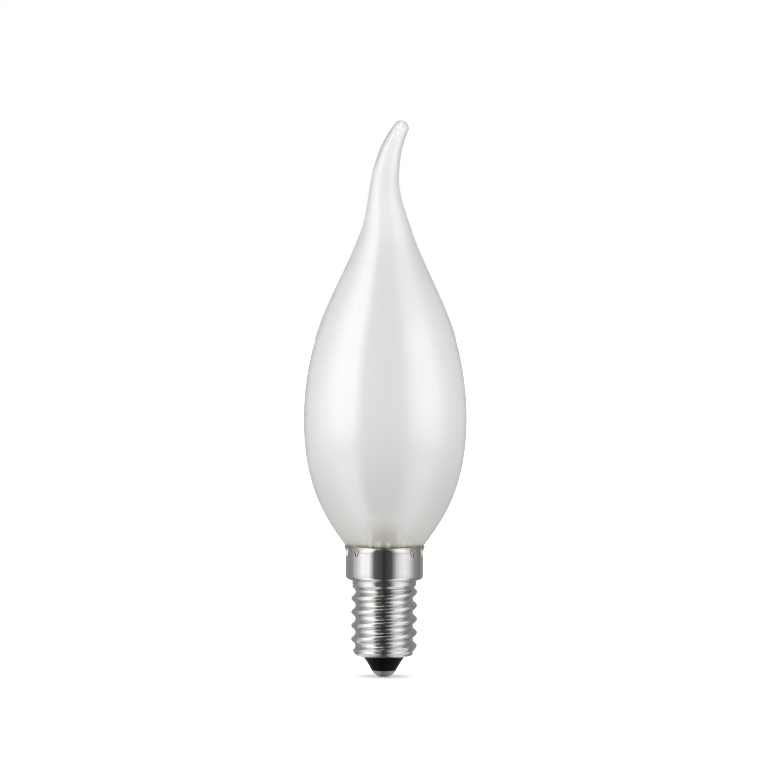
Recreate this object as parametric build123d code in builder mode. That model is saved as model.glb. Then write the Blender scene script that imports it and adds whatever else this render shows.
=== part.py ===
"""Candle bulb: a frosted flame-shaped glass with a bent clear tip, on an E14 screw cap.

The bulb stands on its centre contact with the tip up. Z is its axis, the tip leans over to +X, and
the origin is the middle of the contact's underside. Sizes are in millimetres.
"""
import math
import os

from build123d import *

# Contact and insulator, from the bottom up
contact_d = 5.1
contact_flat_d = 2.0
contact_height = 1.3
contact_dome = 3.0
shank_d = 1.8
insulator_d = 8.4
insulator_height = 2.7
insulator_hollow = 0.06
insulator_inside = 4.0
bowl_d = 4.6
bowl_depth = 1.6

# E14 thread: a rounded ridge with straight flanks on a plain core
crest_d = 13.8
thread_depth = 0.87
pitch = 2.822
crest_round = 0.62
flank_angle = 50.0
crest_height_at_x = 6.4
thread_length = 15.2
thread_fade = 1.0

# Screw shell, drawn from thin plated sheet
sheet = 0.3
lip_reach = 1.1
lip_rise = 0.32
lip_round = 1.3
lip_past_root = 0.47
lip_run = 1.5
band_drop = 0.2
band_height = 1.0
shoulder_step = 1.2
shoulder_round = 0.95
collar_height = 5.75
flare_height = 1.35
flare = 0.47

# Nicks pressed into the sheet under the rim, in pairs
nick_pairs = 3
nick_spread = 28.0
nick_width = 1.1
nick_height = 1.2
nick_depth = 0.12
nick_below_rim = 0.85

# Neck of the glass and the cement round it
cement_gap = 0.8
cement_below_rim = 0.8
cement_depth = 4.2
neck_below_cement = 0.5
neck_bevel = 0.8
neck_cone = 2.1
mouth_gap = 0.13
mouth_rise = 0.05
mouth_spread = 38.5

# Flame of the glass: its diameters, and how far each lies above the one before
skirt_d = 27.2
skirt_rise = 8.65
belly_d = 34.0
belly_rise = 18.5
upper_d = 26.9
upper_rise = 19.5
throat_d = 13.6
throat_rise = 15.0
stalk_d = 7.2
stalk_rise = 10.0
beak_d = 4.84
beak_rise = 9.0
tip_d = 3.1
tip_rise = 6.9
tip_taper = 7.0
sections = 14

# Bend of the drawn-out tip: sideways shifts, and how far each lies above the one before
bend_below_stalk = 7.0
sway = -0.4
sway_rise = 8.5
bow = 0.33
bow_rise = 7.0
tip_lean = 3.16
tip_lean_rise = 7.1
tip_lean_angle = 32.0

# Heights that follow
lip_z = contact_height + insulator_height
lip_edge_z = lip_z + lip_rise
insulator_top = lip_z + insulator_inside
band_z = lip_z + thread_length
shoulder_z = band_z + band_height
flare_z = shoulder_z + collar_height
rim_z = flare_z + flare_height
cement_top = rim_z - cement_below_rim
cement_low = cement_top - cement_depth
neck_low = cement_low - neck_below_cement
mouth_z = rim_z + mouth_rise
cone_low = mouth_z - neck_cone
skirt_z = mouth_z + skirt_rise
belly_z = skirt_z + belly_rise
upper_z = belly_z + upper_rise
throat_z = upper_z + throat_rise
stalk_z = throat_z + stalk_rise
beak_z = stalk_z + beak_rise
tip_z = beak_z + tip_rise
bend_z = stalk_z - bend_below_stalk
sway_z = bend_z + sway_rise
bow_z = sway_z + bow_rise

# Radii that follow
shank_r = shank_d / 2
contact_r = contact_d / 2
insulator_r = insulator_d / 2
tip_r = tip_d / 2
crest_r = crest_d / 2
root_r = crest_r - thread_depth
band_r = crest_r - band_drop
collar_r = crest_r + shoulder_step
rim_r = collar_r + flare
thread_bore = root_r - sheet
collar_bore = collar_r - sheet
neck_r = collar_bore - cement_gap
mouth_r = rim_r - sheet - mouth_gap
lip_r = insulator_r + lip_reach
cement_top_r = neck_r + (mouth_r - neck_r) * (cement_top - cone_low) / neck_cone

# Round of the shell's lip: from its sloping underside to where it stands upright, past the roots
lip_out = root_r + lip_past_root
lip_centre_r = lip_out - lip_round
lip_angle = -math.degrees(math.acos((lip_r - lip_centre_r) / lip_round))
lip_centre_z = lip_edge_z - lip_round * math.sin(math.radians(lip_angle))
floor_z = lip_centre_z - math.sqrt(lip_round**2 - (thread_bore - lip_centre_r) ** 2) + sheet

# Flame of the glass as if it were straight: radius against length up the centreline
spread = math.radians(mouth_spread)
taper = math.radians(tip_taper)
with BuildLine() as outline:
    Spline(
        (mouth_r, mouth_z),
        (skirt_d / 2, skirt_z),
        (belly_d / 2, belly_z),
        (upper_d / 2, upper_z),
        (throat_d / 2, throat_z),
        (stalk_d / 2, stalk_z),
        (beak_d / 2, beak_z),
        (tip_r, tip_z),
        tangents=[(math.sin(spread), math.cos(spread)), (-math.sin(taper), math.cos(taper))],
    )

# Centreline: straight up the axis, then swaying back a little before it bends over
lean = math.radians(tip_lean_angle)
with BuildLine(Plane.XZ) as centreline:
    Line((0, 0), (0, bend_z))
    Spline(
        (0, bend_z),
        (sway, sway_z),
        (bow, bow_z),
        (tip_lean, bow_z + tip_lean_rise),
        tangents=[(0, 1), (math.sin(lean), math.cos(lean))],
    )
spine = centreline.wire()

with BuildPart() as glass_envelope:
    # flame: round sections square to the centreline
    for step in range(sections + 1):
        point = outline.edge() @ (step / sections)
        middle = spine.position_at(point.Y, PositionMode.LENGTH)
        along = spine.tangent_at(point.Y, PositionMode.LENGTH)
        with BuildSketch(Plane(middle, x_dir=(0, 1, 0), z_dir=along)):
            Circle(point.X)
    loft()
    # round end of the tip
    with BuildSketch(Plane(middle, x_dir=(along.Z, 0, -along.X), z_dir=(0, -1, 0))):
        with BuildLine():
            Line((0, 0), (tip_r, 0))
            CenterArc((0, 0), tip_r, 0, 90)
            Line((0, tip_r), (0, 0))
        make_face()
    revolve(axis=Axis(middle, along))
    # neck that stands in the cap
    with BuildSketch(Plane.XZ):
        with BuildLine():
            Polyline(
                (0, neck_low),
                (neck_r - neck_bevel, neck_low),
                (neck_r, neck_low + neck_bevel),
                (neck_r, cone_low),
                (mouth_r, mouth_z),
                (0, mouth_z),
                close=True,
            )
        make_face()
    revolve(axis=Axis.Z)

# Cement ring, filling the collar between the neck and the shell
with BuildPart() as basing_cement:
    with BuildSketch(Plane.XZ):
        with BuildLine():
            Polyline(
                (neck_r, cement_low),
                (collar_bore, cement_low),
                (collar_bore, cement_top),
                (cement_top_r, cement_top),
                (neck_r, cone_low),
                close=True,
            )
        make_face()
    revolve(axis=Axis.Z)

# Thread: a rounded ridge wound on a plain core
flank = math.radians(flank_angle)
arc_end_r = crest_r - crest_round * (1 - math.cos(flank))
arc_end_z = crest_round * math.sin(flank)
foot_r = root_r - sheet / 2
foot_z = arc_end_z + (arc_end_r - foot_r) / math.tan(flank)
turns_below = math.ceil((crest_height_at_x - lip_z) / pitch) + 1
ridge_low = crest_height_at_x - turns_below * pitch
ridge_high = shoulder_z + pitch
ridge_out = crest_r + sheet

# Fade of the thread at its top: the core spreads to the band while the crests sink into it
fade_in = band_r - band_drop
fade_top = band_z + band_drop
fade_out_z = fade_top - (thread_fade + band_drop) * (ridge_out - fade_in) / (crest_r - fade_in)
spread_low = band_z - thread_fade * (band_r - foot_r) / (band_r - root_r)

# Upright plane through the axis in which the shell's outlines lie, away from where the ridge starts
turned = math.radians(137.5)
shell_plane = Plane(
    (0, 0, 0),
    x_dir=(math.cos(turned), math.sin(turned), 0),
    z_dir=(math.sin(turned), -math.cos(turned), 0),
)

# Screw shell: lip, thread, band, shoulder, collar and flared rim in one drawn sheet
with BuildPart() as screw_shell:
    # ridge, longer than the thread at both ends
    with BuildLine() as lead:
        Helix(pitch, ridge_high - ridge_low, root_r, center=(0, 0, ridge_low))
    with BuildSketch(Plane.XZ):
        with BuildLine():
            Polyline(
                (arc_end_r, ridge_low + arc_end_z),
                (foot_r, ridge_low + foot_z),
                (foot_r, ridge_low - foot_z),
                (arc_end_r, ridge_low - arc_end_z),
            )
            ThreePointArc(
                (arc_end_r, ridge_low - arc_end_z),
                (crest_r, ridge_low),
                (arc_end_r, ridge_low + arc_end_z),
            )
        make_face()
    sweep(path=lead.line, is_frenet=True)
    # core that the ridge is wound on
    with BuildSketch(shell_plane):
        with BuildLine():
            Polyline(
                (0, ridge_low - 2 * pitch),
                (root_r, ridge_low - 2 * pitch),
                (root_r, ridge_high + 2 * pitch),
                (0, ridge_high + 2 * pitch),
                close=True,
            )
        make_face()
    revolve(axis=Axis.Z)
    # rounded lip with a cone over it, in which the ridge runs out, and the fade at the top
    with BuildSketch(shell_plane):
        with BuildLine():
            CenterArc((lip_centre_r, lip_centre_z), lip_round, lip_angle, -lip_angle)
            Polyline(
                (lip_out, lip_centre_z),
                (ridge_out, lip_centre_z + lip_run),
                (ridge_out, fade_out_z),
                (fade_in, fade_top),
                (0, fade_top),
                (0, lip_z),
                (insulator_r, lip_z),
                (lip_r, lip_edge_z),
            )
        make_face()
    revolve(axis=Axis.Z, mode=Mode.INTERSECT)
    # band, rounded shoulder, collar and flared rim
    with BuildSketch(shell_plane) as collar:
        with BuildLine():
            Polyline(
                (0, spread_low - thread_fade / 4),
                (foot_r, spread_low),
                (band_r, band_z),
                (band_r, shoulder_z),
                (collar_r, shoulder_z),
                (collar_r, flare_z),
            )
            TangentArc((collar_r, flare_z), (rim_r, rim_z), tangent=(0, 1))
            Polyline((rim_r, rim_z), (0, rim_z), (0, spread_low - thread_fade / 4))
        make_face()
        fillet(collar.vertices().sort_by_distance((collar_r, shoulder_z))[0], shoulder_round)
    revolve(axis=Axis.Z)
    # inside of the sheet
    with BuildSketch(shell_plane) as hollow:
        with BuildLine():
            Polyline(
                (0, lip_z),
                (insulator_r, lip_z),
                (insulator_r, lip_z + sheet),
                (thread_bore, floor_z),
                (thread_bore, shoulder_z + sheet),
                (collar_bore, shoulder_z + sheet),
                (collar_bore, flare_z),
            )
            TangentArc((collar_bore, flare_z), (rim_r - sheet, rim_z), tangent=(0, 1))
            Polyline((rim_r - sheet, rim_z), (0, rim_z), (0, lip_z))
        make_face()
        chamfer(
            hollow.vertices().sort_by_distance((collar_bore, shoulder_z + sheet))[0],
            (shoulder_round - sheet) / 2,
        )
    revolve(axis=Axis.Z, mode=Mode.SUBTRACT)
    # nicks: V pockets with the point down
    for pair in range(nick_pairs):
        for side in (-1, 1):
            angle = math.radians(90 + 360 / nick_pairs * pair + side * nick_spread / 2)
            outward = Vector(math.cos(angle), math.sin(angle), 0)
            seat = outward * (collar_r - nick_depth) + Vector(0, 0, rim_z - nick_below_rim)
            with BuildSketch(Plane(seat, x_dir=(-outward.Y, outward.X, 0), z_dir=outward)):
                with BuildLine():
                    Polyline(
                        (-nick_width / 2, 0),
                        (0, -nick_height),
                        (nick_width / 2, 0),
                        close=True,
                    )
                make_face()
            extrude(amount=flare + nick_depth, mode=Mode.SUBTRACT)

# Insulator: black glass, moulded into the shell and bored for the contact's shank
with BuildPart() as cap_insulator:
    with BuildSketch(Plane.XZ):
        with BuildLine():
            Line((shank_r, contact_height), (contact_r, contact_height))
            SagittaArc((contact_r, contact_height), (insulator_r, lip_z), insulator_hollow)
            Polyline(
                (insulator_r, lip_z),
                (insulator_r, lip_z + sheet),
                (thread_bore, floor_z),
                (thread_bore, insulator_top),
                (bowl_d / 2, insulator_top - bowl_depth),
                (shank_r, insulator_top - bowl_depth),
                (shank_r, contact_height),
            )
        make_face()
    revolve(axis=Axis.Z)

# Contact: domed disc with a shank through the insulator
with BuildPart() as centre_contact:
    with BuildSketch(Plane.XZ):
        with BuildLine():
            Line((0, 0), (contact_flat_d / 2, 0))
            RadiusArc((contact_flat_d / 2, 0), (contact_r, contact_height), -contact_dome)
            Polyline(
                (contact_r, contact_height),
                (shank_r, contact_height),
                (shank_r, insulator_top - bowl_depth),
                (0, insulator_top - bowl_depth),
                (0, 0),
            )
        make_face()
    revolve(axis=Axis.Z)

os.makedirs("parts", exist_ok=True)
for piece, node in (
    (glass_envelope, "glass_envelope"),
    (basing_cement, "basing_cement"),
    (screw_shell, "screw_shell"),
    (cap_insulator, "cap_insulator"),
    (centre_contact, "centre_contact"),
):
    piece.part.label = node
    export_step(piece.part, f"parts/{node}.step")
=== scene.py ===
"""Frosted candle bulb with a bent clear tip on a plated screw cap, standing in a plain studio.

The glass is a real blown shell with a frosted inside, the cap's sheet carries its rounded thread, and
the insulator, contact and cement keep their CAD shapes under finer finishes. Outlines are in mm, and
settings and finishes are in metres.
"""

import math
from types import SimpleNamespace

import bpy
import numpy as np
from bpy.props import FloatProperty, FloatVectorProperty, PointerProperty
from mathutils import Matrix, Vector


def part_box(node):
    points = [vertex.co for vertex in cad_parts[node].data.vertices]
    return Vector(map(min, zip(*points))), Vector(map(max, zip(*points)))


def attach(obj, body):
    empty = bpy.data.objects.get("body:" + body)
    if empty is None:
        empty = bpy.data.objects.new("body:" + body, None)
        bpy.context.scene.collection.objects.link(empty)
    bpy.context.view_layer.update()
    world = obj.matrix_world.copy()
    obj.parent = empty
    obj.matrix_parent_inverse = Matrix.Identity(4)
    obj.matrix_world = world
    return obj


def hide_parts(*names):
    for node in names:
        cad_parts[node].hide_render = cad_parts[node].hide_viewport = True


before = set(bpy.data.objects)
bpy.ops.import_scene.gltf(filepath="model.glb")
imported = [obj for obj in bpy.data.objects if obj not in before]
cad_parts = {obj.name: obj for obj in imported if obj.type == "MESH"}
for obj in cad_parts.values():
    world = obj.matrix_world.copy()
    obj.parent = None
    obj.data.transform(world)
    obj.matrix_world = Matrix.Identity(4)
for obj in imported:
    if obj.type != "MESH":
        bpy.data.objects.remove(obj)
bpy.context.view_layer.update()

bl_info = {
    "name": "Candle bulb",
    "version": (1, 0, 0),
    "blender": (4, 5, 0),
    "location": "3D view, sidebar, Candle bulb",
    "description": "Builds a frosted candle bulb with a bent tip, its screw cap and a studio to see it in",
    "category": "Object",
}

MM = 0.001

# Flame of the glass as if it stood straight: outer radius and height, and its lean at both ends
FLAME = ((8.14, 27.35), (13.6, 36.0), (17.0, 54.5), (13.45, 74.0), (6.8, 89.0), (3.6, 99.0),
         (2.42, 108.0), (1.55, 114.9))
FLAME_LEAN = (38.5, -7.0)

# Neck below the flame, inside the cap: outer radius and height
NECK = ((6.2, 21.8), (7.0, 22.6), (7.0, 25.25))

# Centreline of the drawn tip above the straight part: shift and height, and its lean at both ends
TIP_LINE = ((0.0, 92.0), (-0.4, 100.5), (0.33, 107.5), (3.16, 114.6))
TIP_LEAN = (0.0, 32.0)

# Share of the outer radius that the bore takes up along the drawn tip, by height
BORE_SHARE = ((90, 0.89), (96, 0.82), (101, 0.74), (104, 0.66), (106, 0.55), (108, 0.44),
              (111, 0.36), (115, 0.33))

# Points in a ring of the glass, and of the screw shell with more of them across each nick
AROUND_GLASS = 180
AROUND_SHELL = 240
AROUND_NICK = 30


def length(name, text, size):
    """A length setting, with its default in mm."""
    return FloatProperty(name=name, description=text, default=size * MM, unit="LENGTH", precision=6)


def angle(name, text, degrees):
    """An angle setting."""
    return FloatProperty(name=name, description=text, default=math.radians(degrees), unit="ROTATION")


def tone(name, text, red, green, blue):
    """A colour setting."""
    return FloatVectorProperty(name=name, description=text, size=3, default=(red, green, blue),
                               subtype="COLOR", min=0, max=1)


def level(name, text, value):
    """A brightness setting."""
    return FloatProperty(name=name, description=text, default=value, min=0)


class GlassSettings(bpy.types.PropertyGroup):
    """Sizes and colours of the blown glass"""

    wall: length("Wall", "Thickness of the blown wall", 0.7)
    end_wall: length("Solid end", "Clear glass beyond the end of the bore", 1.25)
    stem_radius: length("Stem", "Radius of the stem that shows through the neck", 2.7)
    glass_colour: tone("Glass", "Tint of the clear glass", 0.97, 0.975, 0.98)
    side_colour: tone("Sides of the tip", "Tint of the drawn glass seen edge on", 0.7, 0.705, 0.71)
    tip_colour: tone("Tip frost", "Thin frost in the drawn tip", 0.8, 0.8, 0.8)
    frost_colour: tone("Frost", "Satin frost on the inside", 0.88, 0.88, 0.885)
    # Painted shade: greyer frost in the lower part, darker towards the bottom
    low_colour: tone("Low frost", "Greyer frost in the lower part", 0.672, 0.67, 0.657)
    # Painted shade: darker, warmer frost at the neck over the cap
    neck_colour: tone("Neck", "Frost at the neck", 0.655, 0.643, 0.61)
    # Painted shade: the stem seen through the neck, painted with its shade as a darker warm patch
    stem_colour: tone("Stem", "Warm tone where the stem shows through the neck", 0.5, 0.477, 0.417)
    stroke_colour: tone("Strokes", "Pale strokes at the foot of the neck", 0.77, 0.745, 0.65)
    # Painted reflection: glints of the cement at the foot of the neck
    glint_colour: tone("Cement glints", "Cement seen through the foot of the neck", 0.5, 0.45, 0.22)


class CapSettings(bpy.types.PropertyGroup):
    """Sizes and colours of the screw cap"""

    crest_radius: length("Crest radius", "Radius over the thread crests", 6.9)
    thread_depth: length("Thread depth", "Crest to root", 0.87)
    pitch: length("Pitch", "Rise of the thread in one turn", 2.822)
    crest_round: length("Crest round", "Radius of the rounded crest", 0.62)
    flank_angle: angle("Flank angle", "Slope of the flanks from the axis", 50)
    crest_height: length("Crest height", "Height of a crest on the X axis", 6.4)
    thread_length: length("Thread length", "From the lip to the band", 15.2)
    thread_fade: length("Thread fade", "Height in which the crests sink into the band", 1.0)
    sheet: length("Sheet", "Thickness of the plated sheet", 0.3)
    lip_hole: length("Lip hole", "Radius of the hole in the lip, round the insulator", 4.2)
    lip_reach: length("Lip reach", "Width of the lip's sloping underside", 1.1)
    lip_rise: length("Lip rise", "Height of the lip's sloping underside", 0.32)
    lip_round: length("Lip round", "Radius of the curled lip", 1.3)
    lip_past_root: length("Lip past root", "How far the lip's round reaches past the roots", 0.47)
    lip_run: length("Lip run", "Height in which the ridge runs out over the lip", 1.5)
    band_drop: length("Band drop", "Band radius below the crest radius", 0.2)
    band_height: length("Band height", "Plain band over the thread", 1.0)
    shoulder_step: length("Shoulder step", "Collar radius over the crest radius", 1.2)
    shoulder_round: length("Shoulder round", "Radius of the shoulder", 0.95)
    collar_height: length("Collar height", "From the shoulder to the flare", 5.75)
    nick_spread: angle("Nick spread", "Angle between the two nicks of a pair", 28)
    nick_width: length("Nick width", "Width of a V nick at its top", 1.1)
    nick_height: length("Nick height", "Height of a V nick", 1.2)
    nick_depth: length("Nick depth", "How deep a nick is pressed", 0.12)
    nick_burr: length("Nick burr", "Height of the burr along a nick", 0.16)
    nick_below_rim: length("Nick below rim", "From the rim down to the nicks", 0.85)
    plate_colour: tone("Plating", "Nickel plating", 0.53, 0.524, 0.514)
    # Painted light: a lighter copy of the plating on the thread, which brightens its reflections
    thread_colour: tone("Thread", "Plating burnished by the thread rolling", 0.6, 0.593, 0.582)
    insulator_colour: tone("Insulator", "Black glass", 0.002, 0.002, 0.0023)
    contact_colour: tone("Contact", "Grey contact metal", 0.43, 0.43, 0.43)
    cement_colour: tone("Cement", "Basing cement", 0.5, 0.44, 0.24)


class StageSettings(bpy.types.PropertyGroup):
    """Floor, lights and camera of the studio"""

    floor_colour: tone("Floor", "Pale studio floor", 0.82, 0.82, 0.82)
    fill_light: level("Fill", "Even light from all round", 1.36)
    left_light: level("Left softbox", "Brightness of the left softbox", 1.4)
    right_light: level("Right softbox", "Brightness of the right softbox", 1.2)
    side_light: level("Side lights", "Brightness beside and behind the bulb, on matt surfaces", 0.2)
    screen_light: level("Screens", "Brightness of the grey screens, in reflections", 0.5)
    over_light: level("Over", "Brightness over the bulb, in reflections", 1.5)
    cap_light: level("Under the cap", "Brightness close under the cap, in reflections", 1.0)
    under_light: level("Far under", "Brightness far under the bulb, in reflections", 0.6)
    glass_screen: level("Glass screens", "Brightness beside the bulb, seen through clear glass", 0.8)
    focal_length: FloatProperty(name="Focal length", description="Camera lens in mm", default=186.9)


def lengths(settings):
    """The length settings, in mm."""
    found = [key for key, kind in settings.__annotations__.items()
             if kind.keywords.get("unit") == "LENGTH"]
    return SimpleNamespace(**{key: getattr(settings, key) / MM for key in found})


# Meshes


def smooth_line(points, lean, count=400):
    """Points along an even curve through the given ones, with its lean in degrees at both ends."""
    given = np.array(points, float)
    steps = np.linalg.norm(np.diff(given, axis=0), axis=1)
    place = np.concatenate([[0], np.cumsum(steps)])
    last = len(given) - 1
    ends = np.radians(lean)
    sums = np.eye(last + 1)
    sides = np.zeros_like(given)
    sides[0] = math.sin(ends[0]), math.cos(ends[0])
    sides[last] = math.sin(ends[1]), math.cos(ends[1])
    for i in range(1, last):
        before, after = steps[i - 1], steps[i]
        sums[i, i - 1:i + 2] = after, 2 * (before + after), before
        risen = after * (given[i] - given[i - 1]) / before
        rising = before * (given[i + 1] - given[i]) / after
        sides[i] = 3 * (risen + rising)
    slope = np.linalg.solve(sums, sides)
    along = np.linspace(0, place[-1], count)
    i = np.clip(np.searchsorted(place, along) - 1, 0, last - 1)
    t = ((along - place[i]) / steps[i])[:, None]
    h = steps[i][:, None]
    return ((1 + 2 * t) * (1 - t) ** 2 * given[i] + t * (1 - t) ** 2 * h * slope[i]
            + t * t * (3 - 2 * t) * given[i + 1] + t * t * (t - 1) * h * slope[i + 1])


FLAME_LINE = np.concatenate([np.array(NECK), smooth_line(FLAME, FLAME_LEAN)])
TIP_POINTS = np.concatenate([[(0.0, 0.0)], smooth_line(TIP_LINE, TIP_LEAN)])
TIP_PLACES = np.concatenate([[0], np.cumsum(np.linalg.norm(np.diff(TIP_POINTS, axis=0), axis=1))])


def skin(name, rows, slots, poles=()):
    """A closed mesh over rows of ring points.

    A row in poles ends at a point, and the next row starts from another.
    """
    rows = np.asarray(rows)
    count, around = rows.shape[:2]
    points = [tuple(p) for p in rows.reshape(-1, 3)]
    faces, marks = [], []
    turn = np.arange(around)
    for i in range(count):
        low, high = i * around, (i + 1) % count * around
        if i in poles:
            for tip, ring, flip in ((poles[i][0], low, False), (poles[i][1], high, True)):
                points.append(tuple(tip))
                for j in turn:
                    pair = (ring + j, ring + (j + 1) % around)
                    faces.append((*(pair[::-1] if flip else pair), len(points) - 1))
                    marks.append(slots[(i + 1) % count if flip else i])
            continue
        for j in turn:
            k = (j + 1) % around
            faces.append((low + j, low + k, high + k, high + j))
            marks.append(slots[i])
    mesh = bpy.data.meshes.new(name)
    mesh.from_pydata(points, [], faces)
    mesh.polygons.foreach_set("material_index", np.array(marks, np.int32))
    mesh.shade_smooth()
    mesh.update()
    return place(name, mesh)


def place(name, mesh):
    """A new object in the scene."""
    made = bpy.data.objects.new(name, mesh)
    bpy.context.scene.collection.objects.link(made)
    return made


def glass_radius(s):
    """Outer radius of the glass at a length up its centreline, in mm."""
    return np.interp(s, FLAME_LINE[:, 1], FLAME_LINE[:, 0])


def centreline(s):
    """Middle of the glass at a length up its centreline, and its direction there, in mm."""
    def middle(at):
        return np.stack([np.interp(at, TIP_PLACES, TIP_POINTS[:, i]) for i in (0, 1)], -1)

    reach = 0.25
    along = middle(s) - middle(s - reach)
    return middle(s), along / np.linalg.norm(along, axis=-1, keepdims=True)


def glass_rings(s, radius):
    """Rings of the given radius square to the centreline, in metres."""
    middle, along = centreline(s)
    turn = np.linspace(0, 2 * math.pi, AROUND_GLASS, endpoint=False)
    across = radius[:, None] * np.cos(turn)
    x = middle[:, :1] + across * along[:, 1:]
    z = middle[:, 1:] - across * along[:, :1]
    y = radius[:, None] * np.sin(turn) * np.ones_like(x)
    return np.stack([x, y, z], -1) * MM


def end_rings(s, radius, count):
    """Rings of a round end of that radius at a length up the centreline, and its last point, in metres."""
    middle, along = centreline(np.array([s]))
    turn = np.linspace(0, 2 * math.pi, AROUND_GLASS, endpoint=False)
    rings = []
    for lift in np.linspace(0, math.pi / 2, count + 1)[1:-1]:
        across, up = radius * math.cos(lift) * np.cos(turn), radius * math.sin(lift)
        x = middle[0, 0] + across * along[0, 1] + up * along[0, 0]
        z = middle[0, 1] - across * along[0, 0] + up * along[0, 1]
        rings.append(np.stack([x, radius * math.cos(lift) * np.sin(turn), z], -1) * MM)
    tip = (middle[0] + radius * along[0]) * MM
    return rings, (tip[0], 0, tip[1])


# Shader groups and finishes


def node(tree, kind, **values):
    """A new node, with values set on its sockets by name or on the node itself."""
    made = tree.nodes.new(kind)
    for key, value in values.items():
        if hasattr(made, key):
            setattr(made, key, value)
        else:
            made.inputs[key.replace("_", " ")].default_value = value
    return made


def group(name, inputs, outputs):
    """A new shader group with named sockets, its input node and its output node."""
    tree = bpy.data.node_groups.new(name, "ShaderNodeTree")
    for label, value in inputs.items():
        socket = tree.interface.new_socket(label, in_out="INPUT", socket_type="NodeSocketFloat")
        socket.default_value = value
    for label in outputs:
        tree.interface.new_socket(label, in_out="OUTPUT", socket_type="NodeSocketFloat")
    return tree, tree.nodes.new("NodeGroupInput"), tree.nodes.new("NodeGroupOutput")


def grain_group():
    """Fine speckle over the surface, and the same as a value from Low to High.

    Under 1, Stretch draws it out along the height and Depth along Y.
    """
    inputs = {"Scale": 900.0, "Detail": 3.0, "Stretch": 1.0, "Depth": 1.0, "Low": 0.0, "High": 1.0}
    tree, given, out = group("surface_grain", inputs, ("Grain", "Value"))
    where = node(tree, "ShaderNodeTexCoord")
    drawn = node(tree, "ShaderNodeCombineXYZ", X=1.0)
    scaled = node(tree, "ShaderNodeVectorMath", operation="MULTIPLY")
    noise = node(tree, "ShaderNodeTexNoise")
    span = node(tree, "ShaderNodeMapRange", From_Min=0.25, From_Max=0.75)
    link = tree.links.new
    link(given.outputs["Stretch"], drawn.inputs["Z"])
    link(given.outputs["Depth"], drawn.inputs["Y"])
    link(where.outputs["Object"], scaled.inputs[0])
    link(drawn.outputs[0], scaled.inputs[1])
    link(scaled.outputs[0], noise.inputs["Vector"])
    link(given.outputs["Scale"], noise.inputs["Scale"])
    link(given.outputs["Detail"], noise.inputs["Detail"])
    link(noise.outputs["Fac"], span.inputs["Value"])
    link(given.outputs["Low"], span.inputs["To Min"])
    link(given.outputs["High"], span.inputs["To Max"])
    link(noise.outputs["Fac"], out.inputs["Grain"])
    link(span.outputs["Result"], out.inputs["Value"])
    return tree


def height_group():
    """Mask that goes from 0 at the height Low to 1 at the height High."""
    tree, given, out = group("height_mask", {"Low": 0.0, "High": 0.1}, ("Mask",))
    where = node(tree, "ShaderNodeTexCoord")
    parts = node(tree, "ShaderNodeSeparateXYZ")
    span = node(tree, "ShaderNodeMapRange", interpolation_type="SMOOTHSTEP")
    link = tree.links.new
    link(where.outputs["Object"], parts.inputs[0])
    link(parts.outputs["Z"], span.inputs["Value"])
    link(given.outputs["Low"], span.inputs["From Min"])
    link(given.outputs["High"], span.inputs["From Max"])
    link(span.outputs["Result"], out.inputs["Mask"])
    return tree


def use(tree, name, **values):
    """A node that places a shared group, built the first time, with its own values."""
    makers = {"surface_grain": grain_group, "height_mask": height_group}
    made = tree.nodes.new("ShaderNodeGroup")
    made.node_tree = bpy.data.node_groups.get(name) or makers[name]()
    for key, value in values.items():
        made.inputs[key].default_value = value
    return made


def material(name, **values):
    """A new material with a Principled shader whose sockets take the values by name."""
    made = bpy.data.materials.new(name)
    made.use_nodes = True
    shader = made.node_tree.nodes["Principled BSDF"]
    for key, value in values.items():
        shader.inputs[key.replace("_", " ")].default_value = value
    return made, made.node_tree, shader


def colour(value):
    """A colour with full alpha."""
    return (*value[:3], 1.0)


def shade(value, amount):
    """The colour made lighter or darker."""
    return tuple(min(1.0, c * amount) for c in value)


def blend(tree, mask, low, high):
    """The colour that goes from low to high by a mask. Either may be a socket."""
    mix = node(tree, "ShaderNodeMix", data_type="RGBA")
    tree.links.new(mask, mix.inputs["Factor"])
    for socket, value in ((mix.inputs[6], low), (mix.inputs[7], high)):
        if isinstance(value, bpy.types.NodeSocket):
            tree.links.new(value, socket)
        else:
            socket.default_value = colour(value)
    return mix.outputs[2]


def times(tree, first, second):
    """The product of two sockets."""
    made = node(tree, "ShaderNodeMath", operation="MULTIPLY")
    tree.links.new(first, made.inputs[0])
    tree.links.new(second, made.inputs[1])
    return made.outputs[0]


def span(tree, socket, low, high, first=0.0, last=1.0, ease="SMOOTHSTEP"):
    """A value that goes from first, where the socket is at low, to last, where it is at high."""
    made = node(tree, "ShaderNodeMapRange", interpolation_type=ease, From_Min=low, From_Max=high,
                To_Min=first, To_Max=last)
    tree.links.new(socket, made.inputs["Value"])
    return made.outputs["Result"]


def aside_and_y(tree):
    """How far a point lies aside of the object's middle, and its Y."""
    where = node(tree, "ShaderNodeTexCoord")
    parts = node(tree, "ShaderNodeSeparateXYZ")
    aside = node(tree, "ShaderNodeMath", operation="ABSOLUTE")
    tree.links.new(where.outputs["Object"], parts.inputs[0])
    tree.links.new(parts.outputs["X"], aside.inputs[0])
    return aside.outputs[0], parts.outputs["Y"]


def above(tree, low, high):
    """Mask that is 0 below the height low and 1 above the height high."""
    return use(tree, "height_mask", Low=low, High=high).outputs["Mask"]


def below(tree, low, high):
    """Mask that is 1 below the height low and 0 above the height high."""
    return span(tree, above(tree, low, high), 0, 1, 1, 0, "LINEAR")


def rough(tree, shader, **values):
    """Roughness that varies over the surface by the shared grain."""
    grain = use(tree, "surface_grain", **values)
    tree.links.new(grain.outputs["Value"], shader.inputs["Roughness"])
    return grain


def mottle(tree, shader, grain, value, dark, light):
    """Base colour that varies over the surface by a grain, between two shades of a colour."""
    toned = blend(tree, grain.outputs["Value"], shade(value, dark), shade(value, light))
    tree.links.new(toned, shader.inputs["Base Color"])


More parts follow.
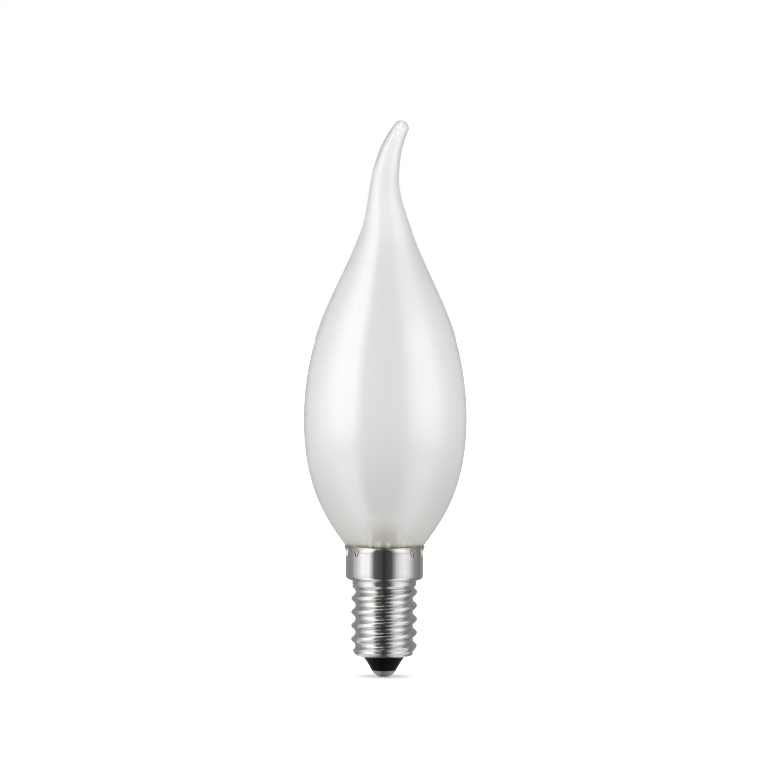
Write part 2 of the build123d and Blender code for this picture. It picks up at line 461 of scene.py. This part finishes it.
def uneven(tree, shader, height, strength, distance):
    """A bump from a height socket."""
    bump = node(tree, "ShaderNodeBump", Strength=strength, Distance=distance)
    tree.links.new(height, bump.inputs["Height"])
    tree.links.new(bump.outputs["Normal"], shader.inputs["Normal"])


class BULB_OT_glass(bpy.types.Operator):
    """Blow the glass: a clear wall with a frosted inside, drawn out to a bent tip"""

    bl_idname = "candle_bulb.glass"
    bl_label = "Blow glass"

    # Rings up the flame and its tip, down the flame's bore, and in the two round ends
    flame_rings, tip_rings, bore_rings = 76, 45, 70
    end_steps, bore_end_steps = 12, 8

    # Heights between which the frost, its painted shade lower down and at the neck, the marks at the foot,
    # the coat and the tint change
    low_frost, tip_frost, neck_frost = (0.034, 0.06), (0.094, 0.106), (0.028, 0.034)
    stem_end, stroke_end, cement_end = (0.0285, 0.034), (0.028, 0.0292), (0.0274, 0.0283)
    coat_foot, coat_end, side_tint = (0.031, 0.062), (0.082, 0.098), (0.078, 0.092)

    # Shares of the stem's radius over which it and the strokes fade out sideways
    stem_fade, stroke_fade = (0.7, 1.15), (1.8, 2.2)

    # Values of the grain between which the strokes and the painted glints of the cement come up
    stroke_grain, glint_grain = (0.48, 0.58), (0.42, 0.56)

    def execute(self, context):
        look = context.scene.bulb_glass
        size = lengths(look)
        inset = 0.004
        mouth, top = FLAME[0][1], FLAME[-1][1]
        bend = TIP_LINE[0][1]
        foot = np.array([*(z for r, z in NECK), (NECK[-1][1] + mouth) / 2])
        s = np.concatenate([foot, np.linspace(mouth, bend, self.flame_rings),
                            np.linspace(bend + 1, top, self.tip_rings)])
        radius = glass_radius(s) - inset
        rows = list(glass_rings(s, radius))
        ends, tip = end_rings(top, radius[-1], self.end_steps)
        rows += ends
        outer = len(rows)
        # bore, from its round end down to the foot, narrower in the tip
        bore_end = top + radius[-1] - size.end_wall
        s = np.concatenate([[bore_end - 0.5], np.linspace(bore_end - 1, bend + 1, self.tip_rings),
                            np.linspace(bend, mouth, self.bore_rings), foot[:0:-1], [foot[0] + 0.4]])
        full = glass_radius(s)
        share = np.interp(s, [p[0] for p in BORE_SHARE], [p[1] for p in BORE_SHARE])
        narrow_from = BORE_SHARE[0][0] - 4
        walled = full - size.wall
        bore = np.where(s > narrow_from, np.minimum(walled, full * share), walled)
        ends, bore_tip = end_rings(s[0], bore[0], self.bore_end_steps)
        rows += ends[::-1]
        rows += list(glass_rings(s, bore))
        slots = [0] * outer + [1] * (len(rows) - outer)
        slots[-1] = 0
        glass = skin("glass_envelope_blown", rows, slots, {outer - 1: (tip, bore_tip)})
        glass.data.materials.append(self.clear(look))
        glass.data.materials.append(self.frost(look))
        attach(glass, "root")
        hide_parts("glass_envelope")
        return {"FINISHED"}

    def clear(self, look):
        """Clear wall with a coat of gloss."""
        made, tree, shader = material("clear_glass", IOR=1.5, Transmission_Weight=1.0, Coat_IOR=1.9,
                                      Coat_Roughness=0.13)
        rough(tree, shader, Scale=120.0, Detail=2.0, Low=0.1, High=0.15)
        # glossiest on the belly
        foot_shine, tip_shine = 0.1, 0.12
        shine = times(tree, span(tree, above(tree, *self.coat_end), 0, 1, 1, tip_shine, "LINEAR"),
                      span(tree, above(tree, *self.coat_foot), 0, 1, foot_shine, 1, "LINEAR"))
        tree.links.new(shine, shader.inputs["Coat Weight"])
        # deeper tint through the drawn wall where it is seen edge on
        grazing = (0.1, 0.6)
        edge = node(tree, "ShaderNodeLayerWeight", Blend=0.5)
        deep = times(tree, span(tree, edge.outputs["Facing"], *grazing), above(tree, *self.side_tint))
        tree.links.new(blend(tree, deep, look.glass_colour, look.side_colour), shader.inputs["Base Color"])
        wave = use(tree, "surface_grain", Scale=70.0, Detail=1.0, Stretch=0.7)
        uneven(tree, shader, wave.outputs["Grain"], 0.55, 0.001)
        return made

    def frost(self, look):
        """Satin frost on the inside, darker towards the bottom and at the neck with painted shade, and
        with what shows through it at the foot: the stem painted with its shade, pale strokes and painted
        glints of the cement.
        """
        made, tree, shader = material("satin_frost")
        # painted shade: greyer frost towards the bottom
        body = blend(tree, above(tree, *self.low_frost), look.low_colour, look.frost_colour)
        body = blend(tree, above(tree, *self.tip_frost), body, look.tip_colour)
        # painted shade, darker and warmer, at the neck
        body = blend(tree, below(tree, *self.neck_frost), body, look.neck_colour)
        # stem and its shade painted on the frost, with paler strokes, on the front and the back
        aside = aside_and_y(tree)[0]
        fades = [[share * look.stem_radius for share in shares]
                 for shares in (self.stem_fade, self.stroke_fade)]
        inside, near = [span(tree, aside, *fade, 1, 0) for fade in fades]
        stem = times(tree, inside, below(tree, *self.stem_end))
        body = blend(tree, stem, body, look.stem_colour)
        strokes = use(tree, "surface_grain", Scale=900.0, Detail=1.0, Stretch=0.05, Depth=0.0)
        pale = times(tree, span(tree, strokes.outputs["Grain"], *self.stroke_grain),
                     below(tree, *self.stroke_end))
        body = blend(tree, times(tree, pale, near), body, look.stroke_colour)
        # painted glints: reflections of the cement at the foot
        patches = use(tree, "surface_grain", Scale=260.0, Detail=2.0, Stretch=0.3)
        glint = times(tree, span(tree, patches.outputs["Grain"], *self.glint_grain),
                      below(tree, *self.cement_end))
        body = blend(tree, glint, body, look.glint_colour)
        # etched grain
        grain = rough(tree, shader, Scale=2500.0, Detail=4.0, Low=0.75, High=0.95)
        specks = blend(tree, span(tree, grain.outputs["Grain"], 0, 1, 0, 0.12), (1, 1, 1), (0.9, 0.9, 0.9))
        mix = node(tree, "ShaderNodeMix", data_type="RGBA", blend_type="MULTIPLY")
        mix.inputs["Factor"].default_value = 1.0
        tree.links.new(body, mix.inputs[6])
        tree.links.new(specks, mix.inputs[7])
        tree.links.new(mix.outputs[2], shader.inputs["Base Color"])
        uneven(tree, shader, grain.outputs["Grain"], 0.1, 0.0002)
        return made


class BULB_OT_shell(bpy.types.Operator):
    """Draw the screw shell: lip, rounded thread, band, shoulder, collar with nicks, and flared rim"""

    bl_idname = "candle_bulb.shell"
    bl_label = "Draw screw shell"

    # Rings up the lip's round, the thread, the shoulder's round, the nicks and the plain collar
    lip_rings, thread_rings, shoulder_rings, nick_rings, collar_rings = 16, 126, 14, 34, 4

    # Angles of the pairs of nicks, in degrees
    nick_pairs = (90, 210, 330)

    # Heights between which the plating turns from the lighter thread tone, a painted brighter reflection,
    # to plain
    burnished_end = (0.0185, 0.0205)

    def execute(self, context):
        look = context.scene.bulb_cap
        cap = self.sizes(look)
        nicks = [math.radians(pair) + side * look.nick_spread / 2
                 for pair in self.nick_pairs for side in (-1, 1)]
        across = cap.nick_width / cap.collar
        turn = [np.linspace(0, 2 * math.pi, AROUND_SHELL, endpoint=False)]
        turn += [np.linspace(nick - across, nick + across, AROUND_NICK) for nick in nicks]
        turn = np.unique(np.concatenate(turn) % (2 * math.pi))
        rows = []

        def ring(r, z):
            r = np.broadcast_to(r, turn.shape)
            rows.append(np.stack([r * np.cos(turn), r * np.sin(turn), np.full_like(turn, z)], -1) * MM)

        # sloping underside of the lip
        for share in (0, 0.5):
            ring(cap.lip_hole + cap.lip_reach * share, cap.lip_z + cap.lip_rise * share)
        # lip round and thread
        curl = math.acos((cap.lip_hole + cap.lip_reach - cap.lip_centre) / cap.lip_round)
        bends = np.linspace(-curl, 0, self.lip_rings)
        for z in (*(cap.lip_centre_z + cap.lip_round * np.sin(bends)),
                  *np.linspace(cap.lip_centre_z + 0.1, cap.band_z + cap.band_drop, self.thread_rings)):
            ring(self.thread(turn, z, cap), z)
        # plain band and rounded shoulder
        crease = 0.1
        plain = cap.band_height - cap.band_drop - crease
        for lift in np.linspace(0.35, 1, 3):
            ring(cap.band, cap.band_z + cap.band_drop + plain * lift)
        for lift in np.linspace(30, 90, 3):
            bent = math.radians(lift)
            ring(cap.band + crease * (1 - math.cos(bent)), cap.shoulder_z - crease * (1 - math.sin(bent)))
        for lift in np.linspace(-90, 0, self.shoulder_rings):
            bent = math.radians(lift)
            ring(cap.collar - cap.shoulder_round * (1 - math.cos(bent)),
                 cap.shoulder_z + cap.shoulder_round * (1 + math.sin(bent)))
        # collar, with closer rings from just under the nicks to just over them, and flared rim
        nick_top = cap.rim_z - cap.nick_below_rim
        nick_low = nick_top - cap.nick_height
        edge = cap.sheet / 2
        foot = cap.shoulder_z + cap.shoulder_round + 0.8
        close_low, close_top = nick_low - 0.15, nick_top + 0.4
        for z in (*np.linspace(foot, close_low - 0.1, self.collar_rings),
                  *np.linspace(close_low, close_top, self.nick_rings),
                  *np.linspace(close_top + 0.05, cap.rim_z - edge, self.collar_rings)):
            ring(self.collar(turn, z, cap, nicks), z)
        rim = self.flare(cap.rim_z - edge, cap) - edge
        for lift in (30, 60, 90, 120, 150):
            bent = math.radians(lift)
            ring(rim + edge * math.cos(bent), cap.rim_z - edge + edge * math.sin(bent))
        # inside of the sheet
        for z in np.linspace(cap.rim_z - 0.2, cap.flare_z, 5):
            ring(self.flare(z, cap) - cap.sheet, z)
        ledge = cap.shoulder_z + cap.sheet
        slope = (cap.shoulder_round - cap.sheet) / 2
        ring(cap.collar - cap.sheet, ledge + slope)
        ring(cap.collar - cap.sheet - slope, ledge)
        ring(cap.root - cap.sheet, ledge)
        ring(cap.root - cap.sheet, cap.lip_z + 1)
        ring(cap.lip_hole, cap.lip_z + cap.sheet)
        shell = skin("screw_shell_drawn", rows, [0] * len(rows))
        shell.data.materials.append(self.plating(look))
        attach(shell, "root")
        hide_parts("screw_shell")
        return {"FINISHED"}

    def sizes(self, look):
        """The shell's sizes in mm: those that are set, and those that follow."""
        cap = lengths(look)
        low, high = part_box("screw_shell")
        cap.lip_z, cap.rim_z, cap.rim = low.z / MM, high.z / MM, high.x / MM
        cap.flank = look.flank_angle
        cap.root = cap.crest_radius - cap.thread_depth
        cap.band = cap.crest_radius - cap.band_drop
        cap.collar = cap.crest_radius + cap.shoulder_step
        cap.band_z = cap.lip_z + cap.thread_length
        cap.shoulder_z = cap.band_z + cap.band_height
        cap.flare_z = cap.shoulder_z + cap.collar_height
        cap.lip_edge_z = cap.lip_z + cap.lip_rise
        cap.lip_out = cap.root + cap.lip_past_root
        cap.lip_centre = cap.lip_out - cap.lip_round
        reach = cap.lip_hole + cap.lip_reach - cap.lip_centre
        cap.lip_centre_z = cap.lip_edge_z + math.sqrt(cap.lip_round**2 - reach**2)
        # the flare bends outwards on one arc
        rise, out = cap.rim_z - cap.flare_z, cap.rim - cap.collar
        cap.flare_bend = (rise**2 + out**2) / (2 * out)
        return cap

    def thread(self, turn, z, cap):
        """Radius round the thread at a height, in mm."""
        turns = (z - cap.crest_height) / cap.pitch - turn / (2 * math.pi)
        off = np.abs(turns - np.round(turns)) * cap.pitch
        arc_off = cap.crest_round * math.sin(cap.flank)
        arc_low = cap.crest_radius - cap.crest_round * (1 - math.cos(cap.flank))
        crest = cap.crest_radius - cap.crest_round + np.sqrt(np.maximum(cap.crest_round**2 - off**2, 0))
        ridge = np.where(off < arc_off, crest, arc_low - (off - arc_off) * math.tan(cap.flank))
        # softened foot of the flanks
        soft = 0.45
        rise = np.clip((ridge - cap.root) / soft, -1, 1)
        r = np.where(rise < 1, cap.root + soft * (rise + 1) ** 2 / 4, ridge)
        # sinks into the band at the top
        fade = (z - cap.band_z + cap.thread_fade) / cap.thread_fade
        if fade > -1:
            drop = 2 * cap.band_drop / (cap.thread_fade + cap.band_drop)
            r = np.minimum(r, cap.crest_radius - fade * cap.thread_fade * drop)
            r = np.maximum(r, cap.root + (cap.band - cap.root) * min(max(fade, 0), 1))
        # runs out on a cone over the rounded lip at the bottom
        lift = z - cap.lip_centre_z
        if lift < 0:
            return np.minimum(r, cap.lip_centre + math.sqrt(cap.lip_round**2 - lift**2))
        widened = (cap.crest_radius + cap.sheet - cap.lip_out) * lift / cap.lip_run
        return np.minimum(r, cap.lip_out + widened)

    def flare(self, z, cap):
        """Outer radius of the collar and its flared rim at a height, in mm."""
        risen = max(0.0, z - cap.flare_z)
        return cap.collar + cap.flare_bend - math.sqrt(cap.flare_bend**2 - risen**2)

    def collar(self, turn, z, cap, nicks):
        """Radius round the collar at a height, with the pressed V nicks and their burrs, in mm."""
        r = np.full_like(turn, self.flare(z, cap))
        drop = cap.rim_z - cap.nick_below_rim - z
        wall, burr_width, arm_past, widest = 0.12, 0.36, 0.35, 0.3
        half = cap.nick_width / 2 * (1 - drop / cap.nick_height)
        for nick in nicks:
            off = np.abs((turn - nick + math.pi) % (2 * math.pi) - math.pi) * cap.collar
            inside = np.minimum(half - off, drop + wall / 2)
            pressed = np.clip(inside / wall, 0, 1) * np.clip((drop + wall) / wall, 0, 1)
            floor = (cap.collar - cap.nick_depth) / np.cos(np.clip(off / cap.collar, 0, widest))
            r = np.where(pressed > 0, r + (np.minimum(floor, r) - r) * pressed, r)
            beside = off - half
            lift = np.clip(1 - np.abs(beside - burr_width / 2) / (burr_width / 2), 0, 1)
            arms = np.where((drop > -arm_past) & (drop < cap.nick_height), 1, 0)
            r = r + cap.nick_burr * np.sin(lift * math.pi / 2) ** 2 * arms
        return r

    def plating(self, look):
        """Nickel plate, smudged a little, and made lighter on the thread as a painted brighter reflection.
        """
        made, tree, shader = material("nickel_plate", Metallic=1.0)
        rough(tree, shader, Scale=700.0, Detail=3.0, Low=0.07, High=0.11)
        smudge = use(tree, "surface_grain", Scale=160.0, Detail=4.0)
        over = above(tree, *self.burnished_end)
        tones = [blend(tree, over, shade(look.thread_colour, amount), shade(look.plate_colour, amount))
                 for amount in (0.94, 1.04)]
        tree.links.new(blend(tree, smudge.outputs["Value"], *tones), shader.inputs["Base Color"])
        drawn = use(tree, "surface_grain", Scale=1500.0, Detail=2.0, Stretch=0.04)
        uneven(tree, shader, drawn.outputs["Grain"], 0.02, 0.0003)
        return made


class BULB_OT_cap_finishes(bpy.types.Operator):
    """Finish the insulator, contact and cement, whose CAD shapes stay"""

    bl_idname = "candle_bulb.cap_finishes"
    bl_label = "Finish cap"

    def execute(self, context):
        look = context.scene.bulb_cap
        finishes = {"cap_insulator": self.black_glass(look), "centre_contact": self.contact(look),
                    "basing_cement": self.cement(look)}
        for name, made in finishes.items():
            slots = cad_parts[name].data.materials
            for i in range(len(slots)):
                slots[i] = made
            if not slots:
                slots.append(made)
        return {"FINISHED"}

    def black_glass(self, look):
        """Moulded black glass with faint pits."""
        made, tree, shader = material("black_glass", IOR=1.52, Specular_IOR_Level=0.03)
        rough(tree, shader, Scale=600.0, Detail=3.0, Low=0.2, High=0.3)
        pits = use(tree, "surface_grain", Scale=900.0, Detail=2.0)
        mottle(tree, shader, pits, look.insulator_colour, 1.0, 2.0)
        uneven(tree, shader, pits.outputs["Grain"], 0.05, 0.0002)
        return made

    def contact(self, look):
        """Dull grey metal."""
        made, tree, shader = material("contact_metal", Metallic=1.0)
        rough(tree, shader, Scale=900.0, Detail=4.0, Low=0.5, High=0.62)
        dull = use(tree, "surface_grain", Scale=1400.0, Detail=5.0)
        mottle(tree, shader, dull, look.contact_colour, 0.8, 1.15)
        uneven(tree, shader, dull.outputs["Grain"], 0.15, 0.0002)
        return made

    def cement(self, look):
        """Sandy cement."""
        made, tree, shader = material("basing_cement")
        rough(tree, shader, Scale=1200.0, Detail=4.0, Low=0.7, High=0.95)
        sand = use(tree, "surface_grain", Scale=2200.0, Detail=5.0)
        mottle(tree, shader, sand, look.cement_colour, 0.75, 1.2)
        uneven(tree, shader, sand.outputs["Grain"], 0.4, 0.0003)
        return made


class BULB_OT_stage(bpy.types.Operator):
    """Set up the floor, the softboxes, the grey screens that only show in reflections, and the camera"""

    bl_idname = "candle_bulb.stage"
    bl_label = "Set up studio"

    # Height that the softboxes and screens stand between, and how far they stand from the bulb
    low, high = -1.0, 1.2
    softbox_reach, screen_reach = 0.6, 0.7

    # Height and radius of the bright sheet under the cap
    cap_under, cap_under_reach = -0.012, 0.03

    # Shares of a lid's radius between which it turns grey from its sides and dark towards the front
    lid_sides, lid_front = (0.04, 0.42), (-0.83, -0.35)

    # Brightness up the softboxes and screens: height and value
    even = ((low, 1.0), (high, 1.0))
    softbox_shared = ((low, 0.9), (-0.5, 1.3), (-0.22, 1.05), (-0.1, 0.65), (0.0, 1.0), (0.15, 1.0))
    softbox_left_up = (*softbox_shared, (0.5, 1.0), (0.8, 0.7), (high, 0.6))
    softbox_right_up = (*softbox_shared, (0.35, 1.0), (0.65, 0.4), (high, 0.1))
    side_right_up = ((low, 1.0), (0.1, 1.0), (0.5, 0.2), (high, 0.0))
    screens_up = ((low, 1.0), (-0.3, 0.9), (-0.06, 1.0), (0.06, 1.0), (0.3, 0.9), (high, 1.0))

    # Brightness round them: angle from the camera's side in degrees, and value
    softbox_left = ((-30, 0.0), (-38, 0.45), (-47, 1.0), (-68, 1.0), (-82, 0.6), (-94, 0.3), (-112, 0.0))
    softbox_right = ((20, 0.0), (31, 0.3), (37, 0.66), (50, 0.9), (62, 1.0), (78, 0.76), (86, 0.4),
                     (102, 0.0))
    side_left = ((-78, 0.0), (-100, 1.0), (-160, 1.0), (-176, 0.0))
    side_right = ((78, 0.0), (100, 1.0), (160, 1.0), (176, 0.0))
    screens = ((-180, 0.8), (-130, 0.8), (-100, 1.0), (-48, 0.8), (-34, 0.45), (-17, 0.26), (0, 0.12),
               (17, 0.24), (28, 0.4), (48, 0.75), (105, 0.9), (124, 0.65), (139, 0.8), (180, 0.8))
    glass_left, glass_right = ((-60, 1.0), (-172, 1.0)), ((60, 1.0), (172, 1.0))

    # Where the camera stands, what it looks at, and its roll in degrees
    camera_spot, camera_target, camera_roll = (-0.0003, -0.83, 0.08), (-0.0003, 0.0, 0.061), 0.32

    def execute(self, context):
        look = context.scene.bulb_stage
        self.world(context, look)
        self.floor(look)
        self.softbox("softbox_left", look.left_light, self.softbox_left_up, self.softbox_left)
        self.softbox("softbox_right", look.right_light, self.softbox_right_up, self.softbox_right)
        self.softbox("side_light_left", look.side_light, self.even, self.side_left, True)
        self.softbox("side_light_right", look.side_light, self.side_right_up, self.side_right, True)
        self.screen("grey_screens", look.screen_light, self.screens_up, self.screens, "glossy")
        self.screen("glass_screen_left", look.glass_screen, self.even, self.glass_left, "transmission")
        self.screen("glass_screen_right", look.glass_screen, self.even, self.glass_right, "transmission")
        # brightness of each lid in front and in the middle
        wide = self.screen_reach + 0.02
        self.lid("grey_over", look.over_light, self.high + 0.01, wide, 0.2, 0.42)
        self.lid("grey_under", look.under_light, self.low, wide, 0.3, 0.42)
        self.lid("cap_under", look.cap_light, self.cap_under, self.cap_under_reach, 0.06, 0.12)
        self.camera(context, look)
        context.scene.view_settings.view_transform = "Standard"
        return {"FINISHED"}

    def lit(self, tree):
        """1 for rays that have met a matt surface, even where they then go through glass."""
        path = node(tree, "ShaderNodeLightPath")
        past = node(tree, "ShaderNodeMath", operation="GREATER_THAN")
        past.inputs[1].default_value = 0.5
        tree.links.new(path.outputs["Diffuse Depth"], past.inputs[0])
        return past.outputs[0]

    def seen(self, tree):
        """1 for rays straight from the camera, in reflections and through glass."""
        path = node(tree, "ShaderNodeLightPath")
        shown = path.outputs["Is Camera Ray"]
        for kind in ("Is Glossy Ray", "Is Transmission Ray"):
            either = node(tree, "ShaderNodeMath", operation="MAXIMUM")
            tree.links.new(shown, either.inputs[0])
            tree.links.new(path.outputs[kind], either.inputs[1])
            shown = either.outputs[0]
        return times(tree, shown, span(tree, self.lit(tree), 0, 1, 1, 0, "LINEAR"))

    def world(self, context, look):
        """White background, brighter as a fill light than where it is seen."""
        world = bpy.data.worlds.new("studio_white")
        context.scene.world = world
        world.use_nodes = True
        tree = world.node_tree
        background = tree.nodes["Background"]
        background.inputs["Color"].default_value = (1, 1, 1, 1)
        tree.links.new(span(tree, self.seen(tree), 0, 1, look.fill_light, 1.0, "LINEAR"),
                       background.inputs["Strength"])

    def floor(self, look):
        """Pale floor that is as white as the background, apart from the shadow round the foot."""
        radius, corners = 6.0, 96
        shadow, distance = (0.003, 0.013), (0.12, 0.7)
        near_glow, far_glow = 0.55, 0.4
        floor = place("studio_floor", self.round(radius, corners, 0.0))
        made, tree, shader = material("pale_floor", Roughness=0.8, Specular_IOR_Level=0.2,
                                      Emission_Color=(1, 1, 1, 1))
        grain = use(tree, "surface_grain", Scale=40.0, Detail=2.0)
        mottle(tree, shader, grain, look.floor_colour, 0.99, 1.01)
        where = node(tree, "ShaderNodeTexCoord")
        away = node(tree, "ShaderNodeVectorMath", operation="LENGTH")
        both = node(tree, "ShaderNodeMath", operation="ADD")
        tree.links.new(where.outputs["Object"], away.inputs[0])
        tree.links.new(span(tree, away.outputs["Value"], *shadow, 0.0, near_glow), both.inputs[0])
        tree.links.new(span(tree, away.outputs["Value"], *distance, 0.0, far_glow), both.inputs[1])
        tree.links.new(times(tree, self.seen(tree), both.outputs[0]), shader.inputs["Emission Strength"])
        floor.data.materials.append(made)
        floor.visible_glossy = floor.visible_transmission = False

    def bare(self, name):
        """A material without a shader, its nodes, and the socket for its surface."""
        made = bpy.data.materials.new(name)
        made.use_nodes = True
        tree = made.node_tree
        tree.nodes.clear()
        return made, tree, node(tree, "ShaderNodeOutputMaterial").inputs["Surface"]

    def glow(self, name, strength, upward, across, gauze, lit_only=False):
        """Glow whose strength follows stops across it and up it.

        A gauze shows what is behind it too. With lit_only it only lights matt surfaces.
        """
        made, tree, surface = self.bare(name)
        shine = node(tree, "ShaderNodeEmission")
        where = node(tree, "ShaderNodeUVMap", uv_map="across_and_up")
        parts = node(tree, "ShaderNodeSeparateXYZ")
        tree.links.new(where.outputs["UV"], parts.inputs[0])
        both = times(tree, self.stops(tree, parts.outputs["X"], across),
                     self.stops(tree, parts.outputs["Y"], upward))
        if lit_only:
            both = times(tree, both, self.lit(tree))
        full = node(tree, "ShaderNodeMath", operation="MULTIPLY")
        full.inputs[1].default_value = strength
        tree.links.new(both, full.inputs[0])
        tree.links.new(full.outputs[0], shine.inputs["Strength"])
        clear = node(tree, "ShaderNodeBsdfTransparent")
        if gauze:
            mix = node(tree, "ShaderNodeAddShader")
            tree.links.new(shine.outputs[0], mix.inputs[0])
            tree.links.new(clear.outputs[0], mix.inputs[1])
        else:
            mix = node(tree, "ShaderNodeMixShader")
            tree.links.new(self.lit(tree), mix.inputs[0])
            tree.links.new(shine.outputs[0], mix.inputs[1])
            tree.links.new(clear.outputs[0], mix.inputs[2])
        tree.links.new(mix.outputs[0], surface)
        return made

    def stops(self, tree, socket, given):
        """A value that follows (place, value) stops."""
        made = node(tree, "ShaderNodeValToRGB")
        made.color_ramp.interpolation = "EASE"
        (first, low), (last, high) = given[0], given[-1]
        stops = made.color_ramp.elements
        stops[0].color, stops[1].color = (low, low, low, 1), (high, high, high, 1)
        for where, value in given[1:-1]:
            stops.new((where - first) / (last - first)).color = (value, value, value, 1)
        tree.links.new(socket, made.inputs["Fac"])
        return made.outputs["Color"]

    def put_up(self, name, mesh, made, *rays):
        """Puts up a panel that shows only to the given kinds of rays."""
        mesh.materials.append(made)
        panel = place(name, mesh)
        panel.visible_camera = panel.visible_volume_scatter = False
        for kind in ("diffuse", "glossy", "transmission", "shadow"):
            setattr(panel, f"visible_{kind}", kind in rays)

    def softbox(self, name, strength, upward, across, lit_only=False):
        """Soft-edged light that stands upright round one side."""
        made = self.glow(name, strength, upward, across, True, lit_only)
        mesh = self.bow(name, across, self.softbox_reach)
        self.put_up(name, mesh, made, "diffuse", "glossy", "transmission")

    def screen(self, name, strength, upward, across, rays):
        """Grey screen that shows only in reflections or only through glass."""
        made = self.glow(name, strength, upward, across, False)
        self.put_up(name, self.bow(name, across, self.screen_reach), made, rays)

    def lid(self, name, strength, height, radius, front, middle):
        """Level screen over or under the bulb that only shows in reflections.

        It is greyer in the middle than at the sides, and darker in front.
        """
        made, tree, surface = self.bare(name)
        shine = node(tree, "ShaderNodeEmission", Strength=strength)
        aside, y = aside_and_y(tree)
        sides = span(tree, aside, *(share * radius for share in self.lid_sides))
        centre = span(tree, y, *(share * radius for share in self.lid_front), front, middle)
        tree.links.new(blend(tree, sides, centre, (1, 1, 1)), shine.inputs["Color"])
        tree.links.new(shine.outputs[0], surface)
        corners = 64
        self.put_up(name, self.round(radius, corners, height), made, "glossy")

    def round(self, radius, corners, height):
        """Level round mesh."""
        turn = np.linspace(0, 2 * math.pi, corners, endpoint=False)
        mesh = bpy.data.meshes.new("round")
        mesh.from_pydata([(radius * math.cos(a), radius * math.sin(a), height) for a in turn], [],
                         [tuple(range(corners))])
        return mesh

    def bow(self, name, across, radius):
        """Upright curved mesh between the first and the last angle, counted from the camera's side."""
        steps = 48
        start, end = across[0][0], across[-1][0]
        points, faces = [], []
        for i in range(steps + 1):
            turn = math.radians(start + (end - start) * i / steps)
            for z in (self.low, self.high):
                points.append((radius * math.sin(turn), -radius * math.cos(turn), z))
        for i in range(steps):
            faces.append((2 * i, 2 * i + 2, 2 * i + 3, 2 * i + 1))
        mesh = bpy.data.meshes.new(name)
        mesh.from_pydata(points, [], faces)
        layer = mesh.uv_layers.new(name="across_and_up")
        for i, face in enumerate(mesh.polygons):
            for corner, (step, up) in zip(face.loop_indices, ((0, 0), (1, 0), (1, 1), (0, 1))):
                layer.data[corner].uv = ((i + step) / steps, up)
        return mesh

    def camera(self, context, look):
        """Camera in front of the bulb that looks down on it a little."""
        lens = bpy.data.cameras.new("studio_camera")
        lens.lens = look.focal_length
        lens.sensor_width = 36.0
        lens.clip_start, lens.clip_end = 0.05, 20.0
        camera = place("studio_camera", lens)
        spot = Vector(self.camera_spot)
        aim = (Vector(self.camera_target) - spot).to_track_quat("-Z", "Y").to_matrix()
        roll = Matrix.Rotation(math.radians(self.camera_roll), 3, "Z")
        camera.matrix_world = Matrix.Translation(spot) @ (aim @ roll).to_4x4()
        context.scene.camera = camera


class BULB_PT_panel(bpy.types.Panel):
    """Candle bulb: its pieces, its finishes and its studio"""

    bl_idname = "BULB_PT_panel"
    bl_label = "Candle bulb"
    bl_space_type = "VIEW_3D"
    bl_region_type = "UI"
    bl_category = "Candle bulb"

    def draw(self, context):
        shown = {"candle_bulb.glass": "bulb_glass", "candle_bulb.shell": "bulb_cap",
                 "candle_bulb.cap_finishes": None, "candle_bulb.stage": "bulb_stage"}
        for operator, settings in shown.items():
            self.layout.operator(operator)
            if settings:
                values = getattr(context.scene, settings)
                for key in values.__annotations__:
                    self.layout.prop(values, key)


SETTINGS = {"bulb_glass": GlassSettings, "bulb_cap": CapSettings, "bulb_stage": StageSettings}
CLASSES = (*SETTINGS.values(), BULB_OT_glass, BULB_OT_shell, BULB_OT_cap_finishes, BULB_OT_stage,
           BULB_PT_panel)


def register():
    """Registers the settings, operators and panel."""
    for each in CLASSES:
        bpy.utils.register_class(each)
    for name, kind in SETTINGS.items():
        setattr(bpy.types.Scene, name, PointerProperty(type=kind))


def unregister():
    """Takes the settings, operators and panel away again."""
    for name in SETTINGS:
        delattr(bpy.types.Scene, name)
    for each in reversed(CLASSES):
        bpy.utils.unregister_class(each)


def main():
    """Builds the bulb and its studio."""
    register()
    bpy.ops.candle_bulb.glass()
    bpy.ops.candle_bulb.shell()
    bpy.ops.candle_bulb.cap_finishes()
    bpy.ops.candle_bulb.stage()


if __name__ == "__main__":
    main()
